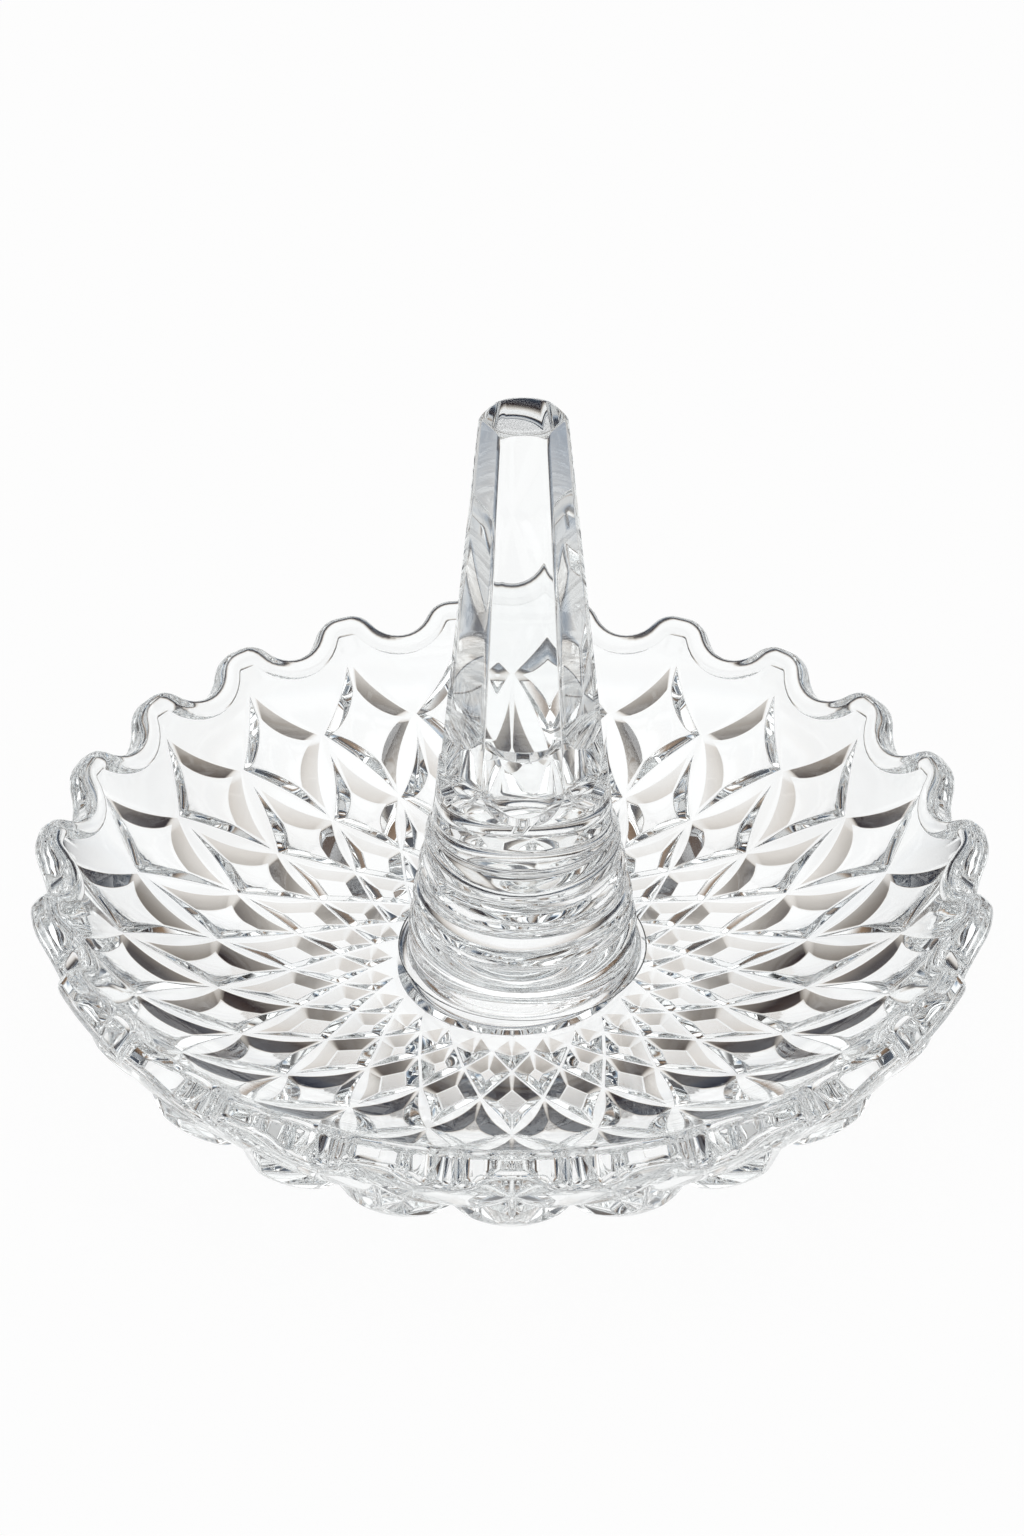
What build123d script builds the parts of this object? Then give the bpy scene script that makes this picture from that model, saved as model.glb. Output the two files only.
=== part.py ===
from build123d import *
import os
from math import asin, atan2, cos, hypot, pi, radians, sin, sqrt

# Ring dish of clear glass: a diamond-cut dish with a scalloped rim, and a faceted post bonded to
# the middle of its floor. Millimetres and degrees, +Z up, the table at z = 0 and the dish's axis
# on Z. Half a scallop of the dish is modelled, from a tip at azimuth 0 to the next valley, then
# mirrored and set round the axis.

os.makedirs("parts", exist_ok=True)

# Rim
rim_radius = 54.0
dish_height = 20.0
scallop_pitch = 14.75
scallop_depth = 3.7
valley_radius = 4.33
tip_land = 1.05
lip_thickness = 2.3
lip_outer_round = 1.3
lip_inner_round = 1.2

# Roll that stands up along the rim, on the inside of the wall
roll_width = 2.5
roll_height = 0.9
roll_round = 0.8

# Inside of the dish: a flat floor that runs into a bowl arc
floor_height = 7.1
floor_radius = 20.0

# Outside of the dish: diamond pads that stand on a grooved wall and end at the table's plane. The
# rows nearest the rim are domed, so that the bevels along their sides are shaped like leaves.
groove_flat_radius = 28.0
pad_height = 1.2
pad_root = 0.4
dome_height = 1.9
dome_edge = 0.1
domed_rows = 3
land_width = 0.3
bevel_angle = 52.0

# Rings of diamond corners, from the rim inwards, as shares of the rim radius
ring_shares = (0.963, 0.85, 0.65, 0.475, 0.37, 0.3, 0.25)

# Disc in the middle of the underside: round ripples between rings at shares of its radius
centre_disc_radius = 12.0
ripple_depth = 0.5
ripple_shares = (1, 0.7, 0.4)

# Post, with heights above its foot
post_offset = 1.2
post_height = 68.4
foot_radius = 13.0
collar_radius = 10.17
collar_height = 17.4
top_radius = 4.75
top_round = 1.0

# Turned rings of the post's foot, with rounded sides between edges: the edges' heights are shares of
# the collar's, and their radii shares of the way from the collar's radius out to the foot's
turned_bulge = 0.45
turned_height_shares = (0.1, 0.32, 0.55, 0.78, 1)
turned_radius_shares = (0.93, 0.74, 0.52, 0.24, 0)

# Flat panels of the post's shaft, each with a round arch at its lower end
panel_count = 6
panel_top_radius = 4.05
panel_lean = 5.12
arch_height = 27.9
arch_radius = 4.9

# Clear bond between the post's foot and the dish's floor, with a hollow bead round the foot
bond_thickness = 0.2
bead_radius = 14.2
bead_height = 1.1
bead_hollow = 0.25

# How far a cutting tool goes past the glass
overrun = 4.0

scallop_count = round(2 * pi * rim_radius / scallop_pitch)
scallop_angle = 360 / scallop_count
half_angle = scallop_angle / 2
lip_half = lip_thickness / 2
lip_radius = rim_radius - lip_half
lip_height = dish_height - lip_half


class ArcProfile:
    """A flat disc and the arc that rises from its edge, as a half section of the dish."""

    def __init__(self, flat_radius, flat_height, arc_radius):
        self.flat_radius = flat_radius
        self.flat_height = flat_height
        self.arc_radius = arc_radius
        self.centre = Vector(flat_radius, 0, flat_height + arc_radius)

    def at(self, angle):
        """The point of the arc at an angle up from the flat."""
        return (
            self.flat_radius + self.arc_radius * sin(angle),
            self.centre.Z - self.arc_radius * cos(angle),
        )

    def angle_to(self, radius, height):
        """The angle up from the flat towards a point."""
        return atan2(radius - self.flat_radius, self.centre.Z - height)

    def height(self, radius):
        """The height of the profile at a radius."""
        out = max(radius - self.flat_radius, 0)
        return self.centre.Z - sqrt(self.arc_radius**2 - out**2)

    def arc_to(self, angle):
        """The arc from the flat's edge up to an angle, as a line of a sketch."""
        return ThreePointArc(self.at(0), self.at(angle / 2), self.at(angle))


def arc_past(flat_radius, flat_height, radius, height, clearance):
    """The radius of an arc that leaves a flat's edge and passes below a point by a clearance."""
    out = radius - flat_radius
    up = height - flat_height
    return (out**2 + up**2 - clearance**2) / (2 * (up - clearance))


def turned_plane(origin, x_dir, z_dir, azimuth):
    """A plane given at azimuth 0, turned about the dish's axis."""
    return Plane(
        origin=Vector(*origin).rotate(Axis.Z, azimuth),
        x_dir=Vector(*x_dir).rotate(Axis.Z, azimuth),
        z_dir=Vector(*z_dir).rotate(Axis.Z, azimuth),
    )


# The upright plane through a tip: its x runs outwards and its y runs up
tip_plane = Plane.XZ

bowl = ArcProfile(
    floor_radius, floor_height, arc_past(floor_radius, floor_height, lip_radius, lip_height, -lip_half)
)
roll = ArcProfile(floor_radius, floor_height + roll_height, bowl.arc_radius - roll_height)
above_roll = ArcProfile(floor_radius, roll.flat_height + roll_height, roll.arc_radius - roll_height)
groove = ArcProfile(
    groove_flat_radius,
    pad_height,
    arc_past(groove_flat_radius, pad_height, lip_radius, lip_height, lip_half),
)
root = ArcProfile(groove_flat_radius, pad_height + pad_root, groove.arc_radius - pad_root)

# The rim's end is square to the bowl arc, half a lip beyond the middle of the lip
rim_angle = bowl.angle_to(lip_radius, lip_height) + lip_half / bowl.arc_radius
roll_angle = rim_angle - roll_width / bowl.arc_radius
rim_normal = Vector(sin(rim_angle), 0, -cos(rim_angle))
rim_along = Vector(cos(rim_angle), 0, sin(rim_angle))
between_centres = bowl.centre - groove.centre
offset_along_normal = between_centres.dot(rim_normal)
offset_across = between_centres.dot(rim_along)
rim_reach = sqrt(groove.arc_radius**2 - offset_across**2) - offset_along_normal
rim_inner = bowl.centre + rim_normal * bowl.arc_radius
rim_outer = bowl.centre + rim_normal * rim_reach
rim_middle = (rim_inner + rim_outer) / 2
groove_end = groove.angle_to(rim_outer.X, rim_outer.Z)

# A valley of the scallops is a round cut through the wall, square to it
valley_centre = rim_middle + rim_along * (valley_radius - scallop_depth)
valley_plane = turned_plane(valley_centre, (0, 1, 0), rim_normal, half_angle)

# A tip is rounded by the arc that leaves its land on each side of its middle
tip_out = rim_middle.X * sin(radians(half_angle))
tip_drop = rim_middle.X * (1 - cos(radians(half_angle))) * rim_along.X
tip_fall = valley_radius - scallop_depth + tip_drop
tip_reach = (tip_out - tip_land) ** 2 + tip_fall**2 - valley_radius**2
tip_radius = tip_reach / (2 * (valley_radius - tip_fall))

def scalloped(section, cut_radius, corner_radius):
    """Half a scallop of a turned section: the valley's cut, and the rounded corner of the tip."""
    with BuildPart() as body:
        revolve(section, axis=Axis.Z, revolution_arc=half_angle)
        with BuildSketch(valley_plane):
            Circle(cut_radius)
        extrude(amount=lip_thickness + overrun, both=True, mode=Mode.SUBTRACT)
        valley_face = body.faces().filter_by(GeomType.CYLINDER)[0]
        fillet(valley_face.edges().sort_by(Axis.Z)[-1], corner_radius)
    return body.part


def along_roll(edge):
    """Whether an edge runs along the scallops on the top of the roll."""
    start, middle, end = [edge @ share for share in (0, 0.5, 1)]
    off_top = abs(roll.height(hypot(middle.X, middle.Y)) - middle.Z)
    turn = abs(atan2(start.Y, start.X) - atan2(end.Y, end.X))
    return off_top < roll_height / 10 and turn > radians(half_angle) / 100


with BuildSketch(tip_plane) as wall_section:
    with BuildLine():
        Polyline(groove.at(0), (centre_disc_radius + pad_height, pad_height), (centre_disc_radius, ripple_depth))
        ripples = [(centre_disc_radius * share, ripple_depth) for share in ripple_shares]
        for outer, inner in zip(ripples, ripples[1:]):
            SagittaArc(outer, inner, ripple_depth)
        Polyline(ripples[-1], (ripples[-1][0] - ripple_depth, 0), (0, 0), (0, roll.flat_height), roll.at(0))
        roll.arc_to(rim_angle)
        Line(roll.at(rim_angle), groove.at(groove_end))
        groove.arc_to(groove_end)
    make_face()

with BuildSketch(tip_plane) as hollow_section:
    with BuildLine():
        Polyline(bowl.at(0), (0, floor_height), (0, above_roll.flat_height), above_roll.at(0))
        above_roll.arc_to(roll_angle)
        Line(above_roll.at(roll_angle), bowl.at(roll_angle))
        bowl.arc_to(roll_angle)
    make_face()

hollow = scalloped(hollow_section.sketch, valley_radius + roll_width, tip_radius - roll_width)
with BuildPart() as wall:
    add(scalloped(wall_section.sketch, valley_radius, tip_radius))
    for side, lip_round in ((0, lip_outer_round), (-1, lip_inner_round)):
        side_face = wall.faces().filter_by(GeomType.REVOLUTION).sort_by(Axis.Z)[side]
        lips = side_face.edges().filter_by(lambda edge: edge.center().Z > lip_height - scallop_depth)
        fillet(lips, lip_round)
    add(hollow, mode=Mode.SUBTRACT)
    fillet(wall.edges(Select.LAST).filter_by(along_roll), roll_round)


def off_wall(radius, azimuth, rise=0):
    """The point of the grooved wall at a radius and an azimuth, or one that stands off it."""
    angle = asin(max(radius - groove.flat_radius, 0) / groove.arc_radius)
    outwards = Vector(sin(angle), 0, -cos(angle))
    return (Vector(radius, 0, groove.height(radius)) + outwards * rise).rotate(Axis.Z, azimuth)


def pad_side(end_radius, side_radius, pad_azimuth, side_azimuth):
    """The bevelled side of a pad, half a land away from the line between two of its corners."""
    end = off_wall(end_radius, pad_azimuth)
    side = off_wall(side_radius, side_azimuth)
    middle_radius = (end_radius + side_radius) / 2
    square = off_wall(middle_radius, half_angle / 2, 1) - off_wall(middle_radius, half_angle / 2)
    inwards = square.cross(side - end).normalized()
    if inwards.dot(off_wall(side_radius, pad_azimuth) - end) < 0:
        inwards = -inwards
    outwards = inwards.cross(side - end).normalized()
    if outwards.dot(square) < 0:
        outwards = -outwards
    slope = radians(bevel_angle)
    return Plane(origin=end + inwards * (land_width / 2), z_dir=inwards * cos(slope) - outwards * sin(slope))


def pad_dome(top_radius, side_radius, bottom_radius, pad_azimuth):
    """A barrel that rounds a pad: it passes just off its corners and is highest at its middle."""
    top = off_wall(top_radius, 0, dome_edge)
    bottom = off_wall(bottom_radius, 0, dome_edge)
    side = off_wall(side_radius, half_angle, dome_edge)
    across = Axis.Y.direction
    chord_middle = (top + bottom) / 2
    half_chord = (top - bottom) / 2
    outwards = across.cross(half_chord).normalized()
    to_crown = off_wall((top_radius + bottom_radius) / 2, 0, dome_height) - chord_middle
    bow = (to_crown.length**2 - half_chord.length**2) / (2 * to_crown.dot(outwards))
    crown_radius = sqrt(half_chord.length**2 + bow**2)
    axle = chord_middle + outwards * bow
    shoulder_radius = hypot(side.X - axle.X, side.Z - axle.Z)
    section = turned_plane(axle, across, across.cross(outwards), pad_azimuth)
    with BuildPart() as barrel:
        with BuildSketch(section):
            with BuildLine():
                Polyline(
                    (-side.Y, shoulder_radius), (-side.Y, 0), (side.Y, 0), (side.Y, shoulder_radius)
                )
                ThreePointArc((side.Y, shoulder_radius), (0, crown_radius), (-side.Y, shoulder_radius))
            make_face()
        revolve(axis=Axis(section.origin, section.x_dir))
    return barrel.part


# Glass from the table's plane up to roots sunk in the wall, over half a scallop
pad_rings = [rim_radius * share for share in ring_shares]
pad_top = groove.height(pad_rings[0])
with BuildPart() as pad_stock:
    with BuildSketch(tip_plane):
        with BuildLine():
            root_end = root.angle_to(pad_rings[0], pad_top)
            Polyline(
                root.at(0),
                (0, root.flat_height),
                (0, 0),
                (rim_radius, 0),
                (rim_radius, pad_top),
                root.at(root_end),
            )
            root.arc_to(root_end)
        make_face()
    revolve(axis=Axis.Z, revolution_arc=half_angle)

# Half pads: the rows stand in turn under the tips and under the valleys
half_pads = []
for row in range(len(pad_rings) - 2):
    top_ring, side_ring, bottom_ring = pad_rings[row:row + 3]
    pad_azimuth = half_angle * (row % 2)
    if row < domed_rows:
        limit = pad_dome(top_ring, side_ring, bottom_ring, pad_azimuth)
    else:
        limit = Cylinder(top_ring, dish_height, align=(Align.CENTER, Align.CENTER, Align.MIN))
    blank = pad_stock.part & limit
    with BuildPart() as half_pad:
        add(blank)
        for end_ring in (top_ring, bottom_ring):
            split(bisect_by=pad_side(end_ring, side_ring, pad_azimuth, half_angle - pad_azimuth))
    half_pads.append(half_pad.part)

with BuildPart() as scallop:
    add(wall.part)
    for half_pad_part in half_pads:
        add(half_pad_part)
    mirror(about=tip_plane)

with BuildPart() as dish:
    with PolarLocations(0, scallop_count, start_angle=-90):
        add(scallop.part)
dish.part.label = "dish"
export_step(dish.part, "parts/dish.step")

foot_height = floor_height + bond_thickness
foot_plane = Plane(origin=(post_offset, 0, foot_height))
post_axis = Axis(foot_plane.origin, foot_plane.z_dir)
post_section = Plane(origin=foot_plane.origin, x_dir=tip_plane.x_dir, z_dir=tip_plane.z_dir)

# One panel's cut, about the post's own axis: arched below, and as deep as the leaning panel
panel_slope = Vector(cos(radians(panel_lean)), 0, sin(radians(panel_lean)))
panel_face = Plane(origin=(panel_top_radius, 0, post_height), x_dir=Axis.Y.direction, z_dir=panel_slope)
with BuildPart() as panel_cut:
    with BuildSketch(Plane.YZ):
        with Locations((0, arch_height)):
            Circle(arch_radius)
            Rectangle(2 * arch_radius, post_height, align=(Align.CENTER, Align.MIN))
    extrude(amount=foot_radius)
    split(bisect_by=panel_face, keep=Keep.TOP)

foot_flare = foot_radius - collar_radius
turned_edges = [
    (collar_radius + foot_flare * radius_share, collar_height * height_share)
    for radius_share, height_share in zip(turned_radius_shares, turned_height_shares)
]
with BuildPart(foot_plane) as ring_post:
    with BuildSketch(post_section):
        with BuildLine():
            Polyline(
                turned_edges[-1],
                (top_radius, post_height),
                (0, post_height),
                (0, 0),
                (foot_radius, 0),
                turned_edges[0],
            )
            for lower, upper in zip(turned_edges, turned_edges[1:]):
                SagittaArc(lower, upper, -turned_bulge)
        make_face()
    revolve(axis=post_axis)
    fillet(ring_post.edges().filter_by(GeomType.CIRCLE).sort_by(Axis.Z)[-1], top_round)
    with PolarLocations(0, panel_count, start_angle=-90):
        add(panel_cut.part, mode=Mode.SUBTRACT)
ring_post.part.label = "ring_post"
export_step(ring_post.part, "parts/ring_post.step")

# The bead climbs the foot's sloped side from the floor
bead_rise = (bead_height - bond_thickness) / turned_edges[0][1]
bead_top = (foot_radius + (turned_edges[0][0] - foot_radius) * bead_rise, bead_height - bond_thickness)
with BuildPart() as bond_film:
    with BuildSketch(post_section):
        with BuildLine():
            Polyline(bead_top, (foot_radius, 0), (0, 0), (0, -bond_thickness), (bead_radius, -bond_thickness))
            SagittaArc((bead_radius, -bond_thickness), bead_top, bead_hollow)
        make_face()
    revolve(axis=post_axis)
bond_film.part.label = "bond_film"
export_step(bond_film.part, "parts/bond_film.step")
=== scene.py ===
from math import asin, atan2, cos, hypot, pi, radians, sin, sqrt, tan

import bmesh
import bpy
import numpy as np
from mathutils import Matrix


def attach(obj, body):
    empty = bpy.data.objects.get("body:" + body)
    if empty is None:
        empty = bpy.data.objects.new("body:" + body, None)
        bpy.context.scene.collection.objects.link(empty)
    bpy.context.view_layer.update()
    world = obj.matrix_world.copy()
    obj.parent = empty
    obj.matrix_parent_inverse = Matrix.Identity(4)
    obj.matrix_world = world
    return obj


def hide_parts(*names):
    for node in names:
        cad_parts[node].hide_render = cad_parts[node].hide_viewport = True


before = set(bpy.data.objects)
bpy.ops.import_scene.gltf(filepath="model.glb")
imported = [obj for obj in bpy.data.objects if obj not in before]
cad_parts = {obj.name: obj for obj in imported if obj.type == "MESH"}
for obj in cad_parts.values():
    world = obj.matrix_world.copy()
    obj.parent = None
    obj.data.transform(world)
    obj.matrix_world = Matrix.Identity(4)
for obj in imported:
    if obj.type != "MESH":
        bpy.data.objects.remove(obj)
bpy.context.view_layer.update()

# Ring dish of clear glass, in millimetres like its CAD source: the diamond-cut dish, the faceted
# post and the clear bond between them get fine meshes of the same shapes.

MM = 0.001

# Rim: each scallop is a round valley between two tips, which keep a short land beside their round
rim_radius = 54.0
dish_height = 20.0
scallop_count = 23
scallop_depth = 3.7
valley_radius = 4.33
tip_land = 1.05

# Lip, and the roll that runs along the inside of the rim below it
lip_thickness = 2.3
lip_outer_round = 1.3
lip_inner_round = 1.2
roll_width = 2.5
roll_height = 0.9
roll_round = 0.8

# Inside of the dish
floor_height = 7.1
floor_radius = 20.0

# Outside of the dish: the grooved wall, and the pads and bevels of its diamonds
groove_flat_radius = 28.0
pad_height = 1.2
dome_height = 1.9
dome_edge = 0.1
domed_rows = 3
land_width = 0.3
bevel_angle = radians(52.0)

# The rings of diamond corners from the rim inwards, as shares of the rim's radius
ring_shares = (0.963, 0.85, 0.65, 0.475, 0.37, 0.3, 0.25)

# Middle of the underside: a disc with ripples, whose crests are shares of its radius
centre_disc_radius = 12.0
ripple_depth = 0.5
ripple_shares = (1, 0.7, 0.4)

# Post, with heights above its foot
post_offset = 1.2
post_height = 68.4
foot_radius = 13.0
collar_radius = 10.17
collar_height = 17.4
top_radius = 4.75
top_round = 1.0

# The foot's turned rings: their edges as shares of the collar's height and of the foot's flare
turned_bulge = 0.45
turned_height_shares = (0.1, 0.32, 0.55, 0.78, 1)
turned_radius_shares = (0.93, 0.74, 0.52, 0.24, 0)

# The flat panels of the shaft, each with a round arch at its lower end
panel_count = 6
panel_top_radius = 4.05
panel_lean = radians(5.12)
arch_height = 27.9
arch_radius = 4.9

# Bond
bond_thickness = 0.2
bead_radius = 14.2
bead_height = 1.1
bead_hollow = 0.25

# Softness of the cut edges: half the width of the strip that rounds a crease, and the largest share
# of a bevel's width that it takes
crease = 0.1
soft_share = 0.4

# Mesh columns over half a scallop: round its tip, round its valley, and along each line of diamond
# corners from the rim inwards, of which the first has the rim's columns
tip_columns = 5
valley_columns = 6
line_columns = (1 + tip_columns + valley_columns, 12, 12, 8, 6, 4)

# Mesh rows of the dish: steps of its rounded edges, of the wall above the diamonds, of the bowl and
# of each bowed ring, and places from the edge of a pad's top and of the bonded disc to its middle
lip_outer_steps = 7
lip_inner_steps = 4
roll_steps = 6
wall_steps = 6
bowl_steps = 16
bow_steps = 10
pad_top_shares = (0.15, 0.3, 0.45, 0.6, 0.8, 1)
bonded_shares = (1, 0.6, 0.3, 0)

# Mesh of the post: rows of its shaft below, along and above the arches, and of its top's round, the
# room between two such stretches, and columns of half a panel and of half the stock between panels
below_arch_rows = 4
arch_steps = 18
above_arch_rows = 16
top_steps = 8
stretch_gap = 1.0
panel_columns = 5

# Mesh of the bond
bond_columns = 144
bead_steps = 8

# Searches: rounds for the place of a scallop's tip and for a point along the bent wall, halvings of
# a span, and the span of heights off the wall where a dome's top is looked for
tip_rounds = 20
bend_rounds = 4
halvings = 40
dome_span = (-1.0, 3.0)

# Clean-up of the meshes: points closer than the first are welded, and slivers shorter than the
# second are dissolved. The weight says how far a large face turns the normals at its edges.
weld_distance = 0.004
sliver_length = 0.002
face_weight = 60

# Glass: its optics, its tint in light and in shadow, and the size and depth of its faint waves
refraction = 1.52
glass_tint = (0.985, 0.99, 0.99, 1)
shadow_tint = (0.9, 0.91, 0.92, 1)
dish_waves = (9.0, 0.004)
post_waves = (14.0, 0.002)
bond_waves = (5.0, 0.003)
white = (1, 1, 1, 1)

# Table: half its width, its paint's grain and brightness, and the share of plain white over it
table_reach = 1500.0
grain_scale = 60.0
grain_detail = 3.0
paint_range = (0.97, 0.98)
glow_share = 0.93

# The studio as the glass sees it, dark with soft boxes above: colour at each height of a direction's Z
studio_stops = (
    (-1.0, (0.06, 0.06, 0.06)),
    (-0.16, (0.06, 0.06, 0.06)),
    (0.0, (0.02, 0.02, 0.02)),
    (0.16, (0.03, 0.025, 0.02)),
    (0.24, (0.55, 0.42, 0.32)),
    (0.28, (1.0, 1.0, 1.0)),
    (0.33, (1.0, 1.0, 1.0)),
    (0.38, (0.06, 0.10, 0.16)),
    (0.60, (0.02, 0.02, 0.025)),
    (0.76, (0.30, 0.20, 0.13)),
    (0.82, (1.2, 1.2, 1.2)),
    (1.0, (1.6, 1.6, 1.6)),
)

# The white backdrop below and behind, with lit rings round it, and the same once more in front: the
# direction of its middle, then colour and cover at each angle from there in degrees
backdrop_direction = (0.0, 0.8226, -0.5686)
backdrop_rings = (
    (0, (1.0, 1.0, 1.0), 1),
    (23, (1.0, 1.0, 1.0), 1),
    (28, (0.74, 0.70, 0.66), 1),
    (31, (0.30, 0.27, 0.24), 1),
    (34, (0.03, 0.02, 0.02), 1),
    (42, (0.03, 0.04, 0.06), 1),
    (45, (0.30, 0.35, 0.42), 1),
    (47, (0.62, 0.62, 0.62), 1),
    (54, (0.62, 0.62, 0.62), 1),
    (57, (0.36, 0.28, 0.22), 1),
    (60, (0.04, 0.03, 0.03), 1),
    (67, (0.03, 0.04, 0.06), 1),
    (70, (0.40, 0.50, 0.62), 1),
    (73, (1.1, 1.1, 1.1), 1),
    (79, (1.1, 1.1, 1.1), 1),
    (86, (0.1, 0.1, 0.1), 0),
)

# Camera, as fitted to the photo: its tilt is measured from looking straight down
camera_lens = 84.6
camera_sensor = 36.0
camera_place = (0, -328.1, 258.24)
camera_tilt = radians(55.3454)

# Bounces of light, enough for the many faces of cut glass
glass_bounces = 24
glossy_bounces = 12

half_angle = pi / scallop_count
front_azimuth = -pi / 2
lip_half = lip_thickness / 2
lip_radius = rim_radius - lip_half
lip_height = dish_height - lip_half


def unit(vectors):
    """Vectors at a length of one."""
    return vectors / np.linalg.norm(vectors, axis=-1, keepdims=True)


def dots(a, b):
    """The dot products of two rows of vectors."""
    return (a * b).sum(-1)


def facing(direction, side):
    """Directions, each turned round where it points away from its side."""
    return direction * np.sign(dots(direction, side))[..., None]


def turned(radius, height, azimuth, centre_x=0.0):
    """Points, or directions, at a radius, height and azimuth of an upright axis."""
    x = radius * np.cos(azimuth) + centre_x
    return np.stack([x, radius * np.sin(azimuth), height + 0 * azimuth], -1)


def arc_past(flat_radius, flat_height, radius, height, clearance):
    """The radius of an arc that leaves a flat's edge and passes below a point by a clearance."""
    out = radius - flat_radius
    up = height - flat_height
    return (out**2 + up**2 - clearance**2) / (2 * (up - clearance))


class Profile:
    """A flat and the arc that rises from its edge, turned round the axis. Lengths are measured along
    the section from the axis, and normals point to the outside of the dish."""

    def __init__(self, flat_radius, flat_height, arc_radius):
        self.flat_radius = flat_radius
        self.arc_radius = arc_radius
        self.centre_height = flat_height + arc_radius

    def angle(self, length):
        """How far the arc has turned at a length."""
        return np.maximum(np.asarray(length, float) - self.flat_radius, 0) / self.arc_radius

    def section(self, length):
        """The radius and height at a length."""
        angle = self.angle(length)
        radius = np.minimum(length, self.flat_radius) + self.arc_radius * np.sin(angle)
        return radius, self.centre_height - self.arc_radius * np.cos(angle)

    def normal(self, length):
        """The normal's share along the radius and along the height, which is below zero."""
        angle = self.angle(length)
        return np.sin(angle), -np.cos(angle)

    def length(self, radius):
        """The length at a radius."""
        out = np.clip((np.asarray(radius, float) - self.flat_radius) / self.arc_radius, 0, 1)
        return np.where(out > 0, self.flat_radius + self.arc_radius * np.arcsin(out), radius)

    def halfway(self, first, second):
        """The length whose radius is halfway between those of two others."""
        return float(self.length((self.section(first)[0] + self.section(second)[0]) / 2))

    def points(self, azimuth, length, rise=0.0):
        """Points of the surface, or off it along its normal by a rise."""
        radius, height = self.section(length)
        out, up = self.normal(length)
        return turned(radius + rise * out, height + rise * up, azimuth)

    def normals(self, azimuth, length):
        """The normals at points of the surface."""
        return turned(*self.normal(length), azimuth)


bowl = Profile(
    floor_radius,
    floor_height,
    arc_past(floor_radius, floor_height, lip_radius, lip_height, -lip_half),
)
groove = Profile(
    groove_flat_radius,
    pad_height,
    arc_past(groove_flat_radius, pad_height, lip_radius, lip_height, lip_half),
)
ring_lengths = groove.length(rim_radius * np.array(ring_shares))

# The rim ends square to the bowl arc, half a lip beyond the middle of the lip
lip_angle = atan2(lip_radius - floor_radius, bowl.centre_height - lip_height)
bowl_end_angle = lip_angle + lip_half / bowl.arc_radius
bowl_end = floor_radius + bowl.arc_radius * bowl_end_angle


def across_wall(radius, height):
    """The point of the grooved wall across from a point of the bowl, along the rim's cut."""
    out, up = sin(bowl_end_angle), -cos(bowl_end_angle)
    from_radius, from_height = radius - groove_flat_radius, height - groove.centre_height
    along = from_radius * out + from_height * up
    reach = -along + np.sqrt(along**2 - from_radius**2 - from_height**2 + groove.arc_radius**2)
    return radius + reach * out, height + reach * up


rim_inner_radius = bowl.section(bowl_end)[0]
rim_outer_radius = across_wall(*bowl.section(bowl_end))[0]
rim_middle_radius = (rim_inner_radius + rim_outer_radius) / 2


class MeshParts:
    """Gathers grids of points as faces, then welds them into one object."""

    def __init__(self):
        self.points = []
        self.faces = []
        self.slots = []
        self.count = 0

    def grid(self, points, closed=False, flip=False, slot=0):
        """Adds the faces between neighbouring points of an array of rows by columns."""
        rows, columns = points.shape[:2]
        steps = columns if closed else columns - 1
        for row in range(rows - 1):
            for column in range(steps):
                a = self.count + row * columns + column
                b = self.count + row * columns + (column + 1) % columns
                quad = (a, b, b + columns, a + columns)
                self.faces.append(quad[::-1] if flip else quad)
                self.slots.append(slot)
        self.points.append(points.reshape(-1, 3))
        self.count += rows * columns

    def build(self, name, materials):
        """The object of all grids, welded along their edges and shaded smooth."""
        mesh = bpy.data.meshes.new(name)
        mesh.from_pydata((np.concatenate(self.points) * MM).tolist(), [], self.faces)
        mesh.polygons.foreach_set("material_index", self.slots)
        for material in materials:
            mesh.materials.append(material)
        shaper = bmesh.new()
        shaper.from_mesh(mesh)
        bmesh.ops.remove_doubles(shaper, verts=shaper.verts, dist=weld_distance * MM)
        bmesh.ops.dissolve_degenerate(shaper, edges=shaper.edges, dist=sliver_length * MM)
        shaper.to_mesh(mesh)
        shaper.free()
        mesh.shade_smooth()
        piece = bpy.data.objects.new(name, mesh)
        bpy.context.scene.collection.objects.link(piece)
        weighted = piece.modifiers.new("face_weighted_normals", "WEIGHTED_NORMAL")
        weighted.mode = "FACE_AREA"
        weighted.weight = face_weight
        return piece


def first_above(rise_at, low, high):
    """Where a rise turns positive between two ends, for each of a row of places."""
    for _ in range(halvings):
        middle = (low + high) / 2
        above = rise_at(middle) > 0
        low, high = np.where(above, low, middle), np.where(above, middle, high)
    return high


def bowed(start, end, bow, steps=bow_steps):
    """Points along an arc of a section that bows to the left of its chord, both ends included."""
    chord = hypot(end[0] - start[0], end[1] - start[1])
    radius = (chord**2 / 4 + bow**2) / (2 * bow)
    left = ((start[1] - end[1]) / chord, (end[0] - start[0]) / chord)
    points = []
    for slide in np.linspace(-1, 1, steps + 1):
        rise = sqrt(radius**2 - (slide * chord / 2) ** 2) - radius + bow
        along = (slide + 1) / 2
        x = start[0] + (end[0] - start[0]) * along + left[0] * rise
        points.append((x, start[1] + (end[1] - start[1]) * along + left[1] * rise))
    return points


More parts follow.
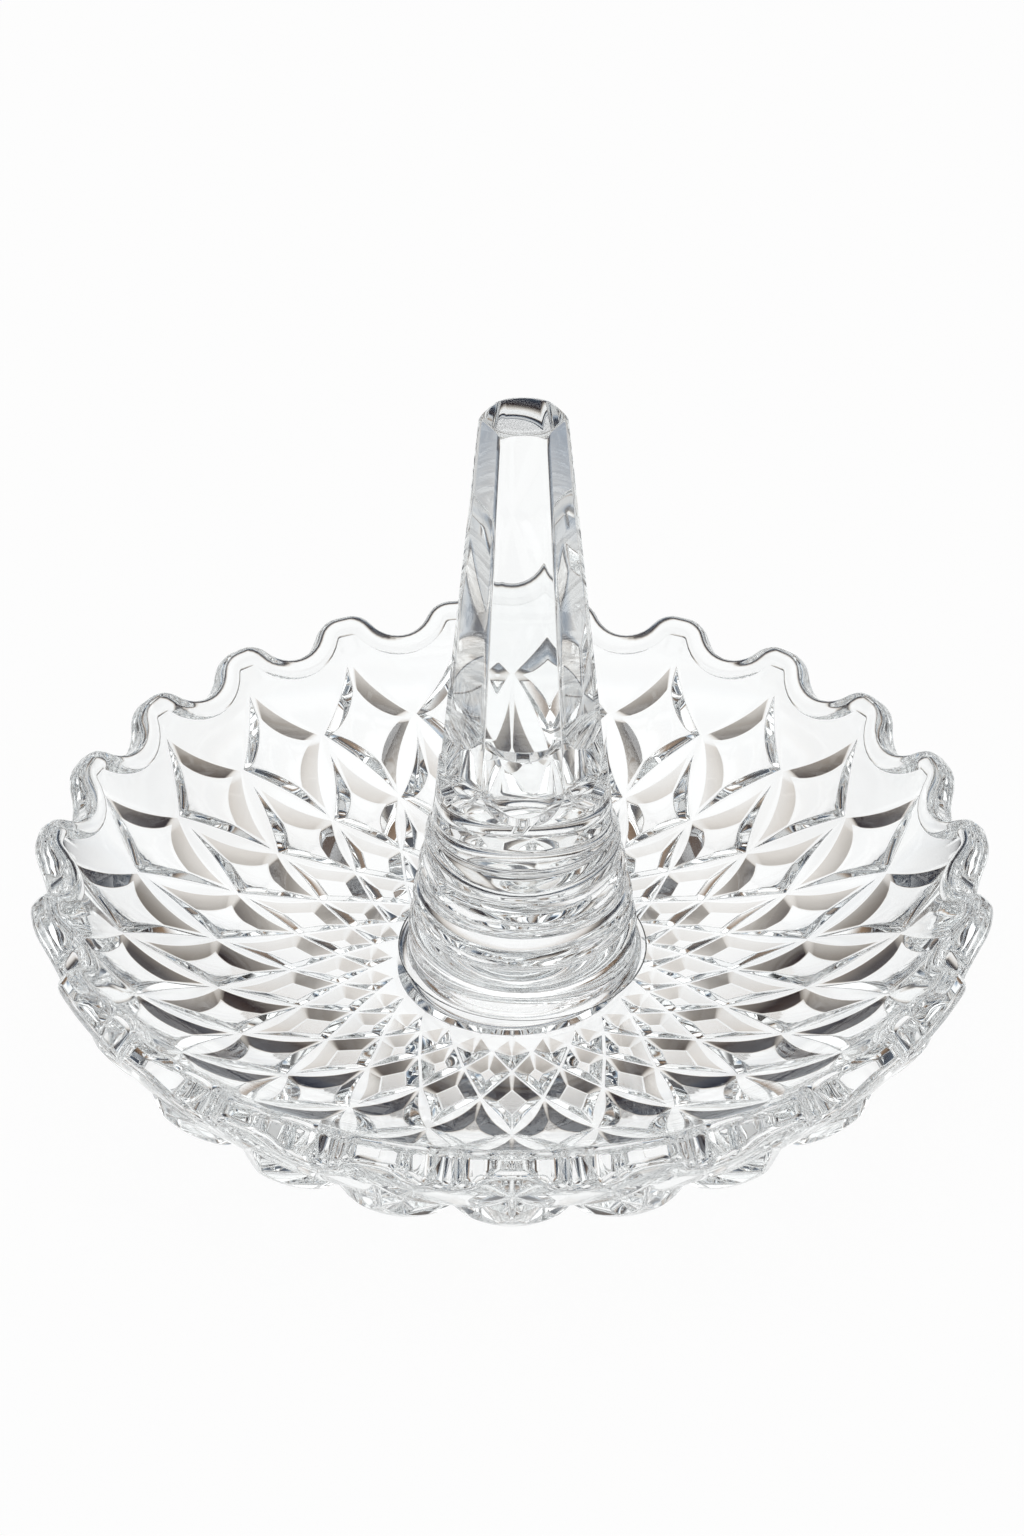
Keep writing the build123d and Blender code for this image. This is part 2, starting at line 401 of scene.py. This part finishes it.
def round_edge(corner, side_a, side_b, radius, steps):
    """Rows of points that round a ring of corners, from one side's direction to the other's."""
    opening = np.arccos(np.clip(dots(side_a, side_b), -1, 1))[:, None]
    centre = corner + unit(side_a + side_b) * radius / np.sin(opening / 2)
    tangent = radius / np.tan(opening / 2)
    start = corner + side_a * tangent - centre
    end = corner + side_b * tangent - centre
    sweep = pi - opening
    rows = []
    for share in np.linspace(0, 1, steps + 1):
        weight_a, weight_b = np.sin((1 - share) * sweep), np.sin(share * sweep)
        rows.append(centre + (start * weight_a + end * weight_b) / np.sin(sweep))
    return rows


def square_to(edge, direction, side):
    """Directions square to a closed edge and to a direction at each point, towards a side."""
    forward = unit(np.roll(edge, -1, 0) - np.roll(edge, 1, 0))
    return facing(unit(np.cross(direction, forward)), side)


def along_surface(direction, cut, normal):
    """The direction within a surface that lies in the plane of two others."""
    slant = direction * dots(cut, normal)[:, None] - cut * dots(direction, normal)[:, None]
    return unit(facing(slant, direction))


def around(azimuths, values):
    """A half scallop's line repeated and mirrored round the axis, as one closed ring."""
    turns = front_azimuth + np.arange(scallop_count) * 2 * half_angle
    ring_azimuth = np.concatenate([azimuths[:-1], 2 * half_angle - azimuths[:0:-1]])
    ring_values = np.concatenate([values[:-1], values[:0:-1]])
    return (turns[:, None] + ring_azimuth).ravel(), np.tile(ring_values, scallop_count)


def corner_line(at_tip, at_valley, columns):
    """A line of diamond corners as a closed ring: azimuths, and values that run evenly between those
    below each tip and each valley."""
    shares = np.linspace(0, 1, columns + 1)
    return around(half_angle * shares, at_tip * (1 - shares) + at_valley * shares)


def scallop_outline(inset=0.0):
    """A line along the rim, or an inset inside it, over half a scallop from tip to valley: azimuths,
    and distances down the wall. It is drawn flat, up from the centre of the valley's circle."""
    bend = cos(bowl_end_angle)
    drop = valley_radius - scallop_depth

    # The tip's round touches the valley's circle, and the rim's line beyond the land
    tip_x = rim_middle_radius * sin(half_angle)
    tip_fall = drop + bend * rim_middle_radius * (1 - cos(half_angle))
    tip_reach = (tip_x - tip_land) ** 2 + tip_fall**2 - valley_radius**2
    tip_radius = tip_reach / (2 * (valley_radius - tip_fall)) - inset

    line_radius = rim_middle_radius - inset * bend
    cut_radius = valley_radius + inset

    def rim_line(x):
        return -drop - inset - bend * (line_radius - sqrt(line_radius**2 - x**2))

    x, lean = cut_radius, 0.0
    for _ in range(tip_rounds):
        touch = x + tip_radius * sin(lean)
        lean = bend * touch / line_radius
        y = rim_line(touch) - tip_radius * cos(lean)
        x = sqrt((cut_radius + tip_radius) ** 2 - y**2)
    meeting = atan2(y, x)
    end_x = line_radius * sin(half_angle)
    land = [(end_x, rim_line(end_x)), (touch, rim_line(touch))]
    tip_turns = np.linspace(pi / 2 - lean, pi + meeting, tip_columns + 1)[1:]
    tip = [(x + tip_radius * cos(turn), y + tip_radius * sin(turn)) for turn in tip_turns]
    valley_turns = np.linspace(meeting, -pi / 2, valley_columns + 1)[1:]
    valley = [(cut_radius * cos(turn), cut_radius * sin(turn)) for turn in valley_turns]

    # On the wall, a part of each point's fall comes from the wall's own bend round the axis
    across, up = np.array(land + tip + valley).T
    down = np.zeros(len(across))
    for _ in range(bend_rounds):
        radius = rim_middle_radius - down * bend
        offset = np.arcsin(across / radius)
        down = -up - drop - bend * radius * (1 - np.cos(offset))
    return half_angle - offset, down


class TableTop:
    """The top of a pad that ends at the table's plane."""

    def rise(self, azimuth, length):
        """How far the pad's top stands off the grooved wall, square to it."""
        return -groove.section(length)[1] / groove.normal(length)[1]


class DomedTop(TableTop):
    """A barrel that rounds a pad: it passes just off its corners and is highest at its middle."""

    def __init__(self, pad_azimuth, top, side, bottom):
        top_point = groove.points(0.0, top, dome_edge)
        side_point = groove.points(half_angle, side, dome_edge)
        bottom_point = groove.points(0.0, bottom, dome_edge)
        crown = groove.points(0.0, groove.halfway(top, bottom), dome_height)
        half_chord = (top_point - bottom_point) / 2
        reach = np.linalg.norm(half_chord)
        outwards = unit(np.cross((0.0, 1.0, 0.0), half_chord))
        to_crown = crown - bottom_point - half_chord
        bow = (dots(to_crown, to_crown) - reach**2) / (2 * dots(to_crown, outwards))
        crown_radius = sqrt(reach**2 + bow**2)
        self.pad_azimuth = pad_azimuth
        self.axle = bottom_point + half_chord + outwards * bow
        drop = crown_radius - hypot(side_point[0] - self.axle[0], side_point[2] - self.axle[2])
        self.section_radius = (side_point[1] ** 2 + drop**2) / (2 * drop)
        self.core_radius = crown_radius - self.section_radius

    def outside(self, azimuth, length, rise):
        """How far a point square off the wall lies outside the barrel."""
        point = groove.points(azimuth - self.pad_azimuth, length, rise)
        from_axle = np.hypot(point[..., 0] - self.axle[0], point[..., 2] - self.axle[2])
        return np.hypot(from_axle - self.core_radius, point[..., 1]) - self.section_radius

    def rise(self, azimuth, length):
        """How far the lower of the barrel and the table's plane stands off the wall."""
        low, high = [np.full(len(azimuth), end) for end in dome_span]
        barrel = first_above(lambda rise: self.outside(azimuth, length, rise), low, high)
        return np.minimum(barrel, super().rise(azimuth, length))


class PadSide:
    """One side of a half pad: the plan between a line of corners and the pad's middle."""

    def __init__(self, pad_azimuth, end, side, centre, top, columns):
        self.pad_azimuth = pad_azimuth
        self.centre = centre
        self.top = top
        side_azimuth = half_angle - pad_azimuth
        shares = np.linspace(0, 1, columns + 1)
        self.line_azimuth = pad_azimuth + (side_azimuth - pad_azimuth) * shares
        self.line_length = end + (side - end) * shares

        # The bevel's plane leaves the wall half a land inside the line of corners
        end_point = groove.points(pad_azimuth, end)
        line = groove.points(side_azimuth, side) - end_point
        square = groove.normals(half_angle / 2, groove.halfway(end, side))
        inwards = facing(unit(np.cross(square, line)), groove.points(pad_azimuth, side) - end_point)
        outwards = facing(unit(np.cross(inwards, line)), square)
        self.foot = end_point + inwards * land_width / 2
        self.lean = inwards * cos(bevel_angle) - outwards * sin(bevel_angle)

        none, all_the_way = np.zeros(columns + 1), np.ones(columns + 1)
        self.foot_inset = first_above(self.pad_rise, none, all_the_way)
        self.top_inset = np.maximum(first_above(self.over_top, none, all_the_way), self.foot_inset)

    def place(self, inset):
        """Azimuths and wall lengths at a share of the way from the line to the middle."""
        azimuth = self.line_azimuth + (self.pad_azimuth - self.line_azimuth) * inset
        return azimuth, self.line_length + (self.centre - self.line_length) * inset

    def bevel_rise(self, inset):
        """How far the bevel's plane stands off the wall."""
        from_foot = groove.points(*self.place(inset)) - self.foot
        return dots(from_foot, self.lean) / -dots(groove.normals(*self.place(inset)), self.lean)

    def over_top(self, inset):
        """How far the bevel's plane stands above the pad's top."""
        return self.bevel_rise(inset) - self.top.rise(*self.place(inset))

    def pad_rise(self, inset):
        """How far the pad stands off the wall: up to its bevel or its top, whichever is lower."""
        return np.minimum(self.bevel_rise(inset), self.top.rise(*self.place(inset)))

    def rows(self, soft):
        """The plan from the line of corners to the middle: azimuth, wall length and rise."""
        bevel = (self.top_inset - self.foot_inset) * soft_share
        low = np.minimum(soft, np.minimum(self.foot_inset / 2, bevel))
        high = np.minimum(soft, np.minimum(bevel, (1 - self.top_inset) / 2))
        top = self.top_inset + high
        insets = [0 * low, self.foot_inset - low, self.foot_inset + low, self.top_inset - high, top]
        insets += [top + (1 - top) * share for share in pad_top_shares]
        rows = []
        for inset in insets:
            rise = np.where(inset > 0, np.maximum(self.pad_rise(inset), 0), 0)
            rows.append(np.stack([*self.place(inset), rise], -1))
        return np.stack(rows)


def half_cell(row):
    """The plans of a half pad above and below its widest place."""
    pad_azimuth = half_angle * (row % 2)
    top, side, bottom = ring_lengths[row:row + 3]
    side_point = groove.points(half_angle - pad_azimuth, side)
    upper = np.linalg.norm(groove.points(pad_azimuth, top) - side_point)
    lower = np.linalg.norm(groove.points(pad_azimuth, bottom) - side_point)
    centre = top + (bottom - top) * upper / (upper + lower)
    cover = DomedTop(pad_azimuth, top, side, bottom) if row < domed_rows else TableTop()
    above = PadSide(pad_azimuth, top, side, centre, cover, line_columns[row])
    below = PadSide(pad_azimuth, bottom, side, centre, cover, line_columns[row + 1])
    inradius = half_angle * groove.section(side)[0] * (top - centre) / upper
    plans = [above.rows(crease / inradius), below.rows(crease / inradius)]

    # The two plans share their side corner's column and their middle point
    corner = (plans[0][:, -1] + plans[1][:, -1]) / 2
    middle = (plans[0][-1, 0] + plans[1][-1, 0]) / 2
    for plan in plans:
        plan[:, -1] = corner
        plan[-1] = middle
    return plans


def add_cells(parts):
    """Adds every pad and bevel: the half pads mirrored and set round the axis."""
    for row in range(len(ring_shares) - 2):
        for below, plan in enumerate(half_cell(row)):
            turns_right = (row % 2 == 0) == (below == 0)
            for turn in range(scallop_count):
                start = front_azimuth + turn * 2 * half_angle
                for side in (1, -1):
                    points = groove.points(start + side * plan[..., 0], plan[..., 1], plan[..., 2])
                    parts.grid(points, flip=turns_right == (side == 1))


def lip_edge():
    """The azimuths of the rim's columns, and rows over the lip from the wall to the roll."""
    azimuth, down = around(*scallop_outline())
    length = bowl_end - down
    outer_radius, outer_height = across_wall(*bowl.section(length))
    inner_edge = bowl.points(azimuth, length, -roll_height)
    outer_edge = turned(outer_radius, outer_height, azimuth)
    cut = unit(inner_edge - outer_edge)
    inwards = square_to(inner_edge, cut, -inner_edge)
    bowl_side = along_surface(inwards, cut, bowl.normals(azimuth, length))
    wall_side = along_surface(inwards, cut, groove.normals(azimuth, groove.length(outer_radius)))
    rows = round_edge(outer_edge, wall_side, cut, lip_outer_round, lip_outer_steps)
    return azimuth, rows + round_edge(inner_edge, -cut, bowl_side, lip_inner_round, lip_inner_steps)


def upper_wall(end):
    """Rows from the first line of diamond corners up to a ring of points under the lip."""
    end_azimuth = np.unwrap(np.arctan2(end[:, 1], end[:, 0]))
    end_length = groove.length(np.hypot(end[:, 0], end[:, 1]))
    azimuth, length = corner_line(*ring_lengths[:2], line_columns[0])
    rows = []
    for share in np.linspace(1, 0, wall_steps + 1):
        row_azimuth = end_azimuth + (azimuth - end_azimuth) * share
        rows.append(groove.points(row_azimuth, end_length + (length - end_length) * share))
    return rows


def inner_side(lip_azimuth):
    """Rows round the roll's lower edge, and down the bowl to the floor at the lip's azimuths."""
    azimuth, down = around(*scallop_outline(roll_width))
    length = bowl_end - down
    corner = bowl.points(azimuth, length, -roll_height)
    into_wall = unit(bowl.points(azimuth, length) - corner)
    upwards = square_to(corner, into_wall, corner * (1, 1, 0))
    rows = round_edge(corner, upwards, into_wall, roll_round, roll_steps)
    for share in np.linspace(0, 1, bowl_steps + 1):
        row_azimuth = azimuth + (lip_azimuth - azimuth) * share
        rows.append(bowl.points(row_azimuth, length + (floor_radius - length) * share))
    return rows


def add_floor(parts, bowl_foot, azimuth):
    """Adds the floor, with the bonded disc under the post."""
    bonded = []
    for share in bonded_shares:
        bonded.append(turned(bead_radius * share, floor_height, azimuth, post_offset))
    parts.grid(np.stack([bowl_foot, (bowl_foot + bonded[0]) / 2, bonded[0]]), closed=True)
    parts.grid(np.stack(bonded), closed=True, slot=1)


def add_underside(parts):
    """Adds the middle of the underside: the disc inside the last line of corners."""
    valley_radius_below, tip_radius_below = [rim_radius * share for share in ring_shares[-2:]]
    if len(ring_shares) % 2 == 0:
        valley_radius_below, tip_radius_below = tip_radius_below, valley_radius_below
    azimuth, last_line = corner_line(tip_radius_below, valley_radius_below, line_columns[-1])
    section = [
        (last_line, pad_height),
        (centre_disc_radius + pad_height + crease, pad_height),
        (centre_disc_radius + pad_height - crease, pad_height - crease),
    ]
    crests = [centre_disc_radius * share for share in ripple_shares]
    for outer, inner in zip(crests, crests[1:]):
        section += bowed((outer, ripple_depth), (inner, ripple_depth), ripple_depth)
    rest_radius = crests[-1] - ripple_depth
    section += [(rest_radius + crease, crease), (rest_radius - crease, 0), (rest_radius / 2, 0), (0, 0)]
    disc = [turned(radius, height, azimuth) for radius, height in section]
    parts.grid(np.stack(disc), closed=True, flip=True)


def dish_mesh(materials):
    """The dish: its wall, lip and inside as one grid, then the floor, the pads and the underside."""
    parts = MeshParts()
    azimuth, lip = lip_edge()
    inside = inner_side(azimuth)
    parts.grid(np.stack(upper_wall(lip[0]) + lip[1:] + inside), closed=True)
    add_floor(parts, inside[-1], azimuth)
    add_cells(parts)
    add_underside(parts)
    return parts.build("dish_glass", materials)


def turned_edges():
    """The edges of the foot's turned rings: radius and height."""
    flare = foot_radius - collar_radius
    radii = [collar_radius + flare * share for share in turned_radius_shares]
    return list(zip(radii, [collar_height * share for share in turned_height_shares]))


def bead_end():
    """Where the bond's bead ends on the foot: its radius and its height above the foot."""
    radius, height = turned_edges()[0]
    rise = bead_height - bond_thickness
    return foot_radius + (radius - foot_radius) * rise / height, rise


def post_section():
    """Rows of the post, from its foot up: radius of the round stock, and height."""
    rows = [(foot_radius, 0), bead_end()]
    edges = turned_edges()
    for lower, upper in zip(edges, edges[1:]):
        rows += bowed(upper, lower, turned_bulge)[::-1]
    arch_start = arch_height - arch_radius
    shaft = list(np.linspace(collar_height + stretch_gap, arch_start - stretch_gap, below_arch_rows))
    shaft += [arch_height - arch_radius * cos(turn) for turn in np.linspace(0, pi / 2, arch_steps + 1)]
    top_start = post_height - top_round
    shaft += list(np.linspace(arch_height + stretch_gap, top_start - stretch_gap, above_arch_rows))
    for height in shaft:
        share = (height - collar_height) / (post_height - collar_height)
        rows.append((collar_radius + (top_radius - collar_radius) * share, height))
    lean = atan2(collar_radius - top_radius, post_height - collar_height)
    flat = top_radius - top_round * tan(pi / 4 - lean / 2)
    for turn in np.linspace(pi / 2 - lean, 0, top_steps + 1):
        rows.append((flat + top_round * sin(turn), top_start + top_round * cos(turn)))
    return rows + [(flat / 2, post_height), (0, post_height)]


def post_ring(stock, height):
    """One panel's share of a row: turns from the panel's middle, and radii. Its columns are shared
    between the panel and the round stock beside it, or a narrow strip where the panels meet."""
    sector = pi / panel_count
    panel = panel_top_radius + (post_height - height) * tan(panel_lean)
    below = min(max((arch_height - height) / arch_radius, 0), 1)
    half_width = min(arch_radius * sqrt(1 - below**2), sqrt(max(stock**2 - panel**2, 0)))
    if half_width >= panel * tan(sector):
        edge = crease / stock
        on_panel = np.linspace(0, sector - edge, panel_columns)
        on_stock = np.full(panel_columns, sector)
        panel_radii = panel / np.cos(on_panel)
        stock_radii = np.full(panel_columns, panel / cos(sector - edge) * cos(edge))
    elif half_width > crease:
        on_panel = np.linspace(0, atan2(half_width, panel), panel_columns)
        on_stock = np.linspace(asin(half_width / stock), sector, panel_columns)
        panel_radii = panel / np.cos(on_panel)
        stock_radii = np.full(panel_columns, stock)
    else:
        on_panel = np.zeros(panel_columns)
        on_stock = np.linspace(0, sector, panel_columns)
        panel_radii = stock_radii = np.full(panel_columns, stock)
    turns, radii = np.append(on_panel, on_stock), np.append(panel_radii, stock_radii)
    return np.append(turns, 2 * sector - turns[-2:0:-1]), np.append(radii, radii[-2:0:-1])


def post_mesh(materials):
    """The post: its bonded foot and its sides, row by row."""
    starts = front_azimuth + np.arange(panel_count) * 2 * pi / panel_count
    foot_height = floor_height + bond_thickness
    rings = []
    for stock, height in post_section():
        turns, radii = post_ring(stock, height)
        azimuth = (starts[:, None] + turns).ravel()
        rings.append(turned(np.tile(radii, panel_count), height + foot_height, azimuth, post_offset))
    centre = rings[0] * (0, 0, 1) + (post_offset, 0, 0)
    parts = MeshParts()
    foot = [centre, (centre + rings[0]) / 2, rings[0], rings[1]]
    parts.grid(np.stack(foot), closed=True, slot=1)
    parts.grid(np.stack(rings[1:]), closed=True)
    return parts.build("post_glass", materials)


def film_mesh(materials):
    """The clear bond: its bead round the foot shows, and its other faces touch glass."""
    azimuth = np.linspace(0, 2 * pi, bond_columns, endpoint=False)

    def ring(radius, height):
        return turned(radius, floor_height + height, azimuth, post_offset)

    bead_arc = bowed((bead_radius, 0), (bead_end()[0], bead_height), bead_hollow, bead_steps)
    bead = [ring(radius, height) for radius, height in bead_arc]
    below = [ring(0, 0), ring(bead_radius / 2, 0), bead[0]]
    inside = [bead[-1]]
    for radius in (foot_radius, foot_radius / 2, 0):
        inside.append(ring(radius, bond_thickness))
    parts = MeshParts()
    parts.grid(np.stack(bead), closed=True)
    parts.grid(np.stack(below), closed=True, slot=1)
    parts.grid(np.stack(inside), closed=True, slot=1)
    return parts.build("bond_bead", materials)


class Nodes:
    """Short names for adding and linking the nodes of a material or world."""

    def __init__(self, owner):
        owner.use_nodes = True
        self.tree = owner.node_tree
        self.tree.nodes.clear()

    def add(self, kind, **inputs):
        """A new node with its inputs set, an underscore in a name standing for a space."""
        node = self.tree.nodes.new(kind)
        for name, value in inputs.items():
            self.set(node, name.replace("_", " "), value)
        return node

    def set(self, node, name, value):
        """Sets an input of a node to a value, or links it to a socket."""
        socket = node.inputs[name]
        if isinstance(value, bpy.types.NodeSocket):
            self.tree.links.new(value, socket)
        else:
            socket.default_value = value

    def math(self, operation, a, b=0.0, clamp=False):
        """The result of a sum of values or sockets."""
        node = self.tree.nodes.new("ShaderNodeMath")
        node.operation = operation
        node.use_clamp = clamp
        self.set(node, 0, a)
        self.set(node, 1, b)
        return node.outputs[0]

    def mix(self, factor, first, second):
        """A mix of two shaders, given as sockets."""
        node = self.tree.nodes.new("ShaderNodeMixShader")
        self.set(node, 0, factor)
        self.set(node, 1, first)
        self.set(node, 2, second)
        return node.outputs[0]

    def ramp(self, place, stops):
        """The outputs of a colour ramp with stops of place, colour and cover."""
        node = self.add("ShaderNodeValToRGB", Fac=place)
        elements = node.color_ramp.elements
        for position, _, _ in stops[1:-1]:
            elements.new(position)
        for element, (position, colour, cover) in zip(elements, stops):
            element.position = position
            element.color = (*colour, cover)
        return node.outputs


def cut_glass(name, wave_size, wave_depth):
    """Clear glass with faint waves from its making."""
    material = bpy.data.materials.new(name)
    nodes = Nodes(material)
    place = nodes.add("ShaderNodeTexCoord").outputs["Object"]
    noise = nodes.add("ShaderNodeTexNoise", Vector=place, Scale=1 / (wave_size * MM), Detail=1.0)
    waves = nodes.add("ShaderNodeBump", Height=noise.outputs["Fac"], Strength=1.0, Distance=wave_depth * MM)
    glass = nodes.add("ShaderNodeBsdfGlass", Roughness=0.0, IOR=refraction, Normal=waves.outputs[0])
    nodes.set(glass, "Color", glass_tint)
    clear = nodes.add("ShaderNodeBsdfTransparent", Color=shadow_tint)
    shadow = nodes.add("ShaderNodeLightPath").outputs["Is Shadow Ray"]
    output = nodes.add("ShaderNodeOutputMaterial")
    nodes.set(output, "Surface", nodes.mix(shadow, glass.outputs[0], clear.outputs[0]))
    return material


def bonded_face(name):
    """A face where the bond joins two pieces of glass, which light crosses without bending."""
    material = bpy.data.materials.new(name)
    nodes = Nodes(material)
    clear = nodes.add("ShaderNodeBsdfTransparent", Color=white)
    output = nodes.add("ShaderNodeOutputMaterial")
    nodes.set(output, "Surface", clear.outputs[0])
    return material


def clear_table():
    """A clear table over a far white backdrop: white from above, with the dish's soft shadow on it,
    and clear to the light that comes through the glass."""
    material = bpy.data.materials.new("clear_table")
    nodes = Nodes(material)
    noise = nodes.add("ShaderNodeTexNoise", Scale=grain_scale, Detail=grain_detail)
    ramp = nodes.add("ShaderNodeMapRange", Value=noise.outputs["Fac"])
    nodes.set(ramp, "To Min", paint_range[0])
    nodes.set(ramp, "To Max", paint_range[1])
    paint = nodes.add("ShaderNodeBsdfDiffuse", Color=ramp.outputs[0])
    glow = nodes.add("ShaderNodeEmission", Color=white, Strength=1.0)
    through = nodes.add("ShaderNodeBsdfTransparent", Color=white)
    path = nodes.add("ShaderNodeLightPath").outputs
    seen = nodes.math("ADD", path["Is Camera Ray"], path["Is Glossy Ray"], clamp=True)
    share = nodes.math("MULTIPLY", seen, glow_share)
    top = nodes.mix(share, paint.outputs[0], glow.outputs[0])
    output = nodes.add("ShaderNodeOutputMaterial")
    nodes.set(output, "Surface", nodes.mix(path["Is Transmission Ray"], top, through.outputs[0]))
    return material


def add_table():
    """The table that the dish stands on, which is no part of it."""
    mesh = bpy.data.meshes.new("table")
    size = table_reach * MM
    corners = [(-size, -size, 0), (size, -size, 0), (size, size, 0), (-size, size, 0)]
    mesh.from_pydata(corners, [], [(0, 1, 2, 3)])
    mesh.materials.append(clear_table())
    table = bpy.data.objects.new("table", mesh)
    bpy.context.scene.collection.objects.link(table)


def set_world():
    """A dark studio with a white backdrop, lit rings and a bright ceiling, which draw the lines of
    cut glass. The camera itself sees white."""
    world = bpy.data.worlds.new("studio")
    bpy.context.scene.world = world
    nodes = Nodes(world)
    direction = nodes.add("ShaderNodeTexCoord").outputs["Generated"]
    axes = nodes.add("ShaderNodeSeparateXYZ", Vector=direction).outputs
    level = nodes.add("ShaderNodeMapRange", Value=axes["Z"])
    nodes.set(level, "From Min", -1.0)
    stops = [((height + 1) / 2, colour, 1) for height, colour in studio_stops]
    by_height = nodes.ramp(level.outputs["Result"], stops)

    # The cosine of the angle from the backdrop's middle, mirrored in front
    across = nodes.math("MULTIPLY", nodes.math("ABSOLUTE", axes["Y"]), backdrop_direction[1])
    down = nodes.math("MULTIPLY", axes["Z"], backdrop_direction[2])
    stops = [(cos(radians(turn)), colour, cover) for turn, colour, cover in reversed(backdrop_rings)]
    by_angle = nodes.ramp(nodes.math("ADD", across, down), stops)

    room = nodes.add("ShaderNodeBackground", Color=by_height["Color"], Strength=1.0)
    rings = nodes.add("ShaderNodeBackground", Color=by_angle["Color"], Strength=1.0)
    plain = nodes.add("ShaderNodeBackground", Color=white, Strength=1.0)
    studio = nodes.mix(by_angle["Alpha"], room.outputs[0], rings.outputs[0])
    from_camera = nodes.add("ShaderNodeLightPath").outputs["Is Camera Ray"]
    output = nodes.add("ShaderNodeOutputWorld")
    nodes.set(output, "Surface", nodes.mix(from_camera, studio, plain.outputs[0]))


def add_camera():
    """The camera of the photo."""
    data = bpy.data.cameras.new("camera")
    data.lens = camera_lens
    data.sensor_width = camera_sensor
    camera = bpy.data.objects.new("camera", data)
    camera.location = [place * MM for place in camera_place]
    camera.rotation_euler = (camera_tilt, 0, 0)
    bpy.context.scene.collection.objects.link(camera)
    bpy.context.scene.camera = camera


def show(piece, node):
    """Lets a piece stand for a node of the frame."""
    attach(piece, "root")
    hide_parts(node)


bpy.context.scene.view_settings.view_transform = "Standard"
bpy.context.scene.cycles.max_bounces = glass_bounces
bpy.context.scene.cycles.transmission_bounces = glass_bounces
bpy.context.scene.cycles.transparent_max_bounces = glass_bounces
bpy.context.scene.cycles.glossy_bounces = glossy_bounces

bonded = bonded_face("bonded_face")
show(dish_mesh([cut_glass("dish_glass", *dish_waves), bonded]), "dish")
show(post_mesh([cut_glass("post_glass", *post_waves), bonded]), "ring_post")
show(film_mesh([cut_glass("bond_glass", *bond_waves), bonded]), "bond_film")
add_table()
set_world()
add_camera()
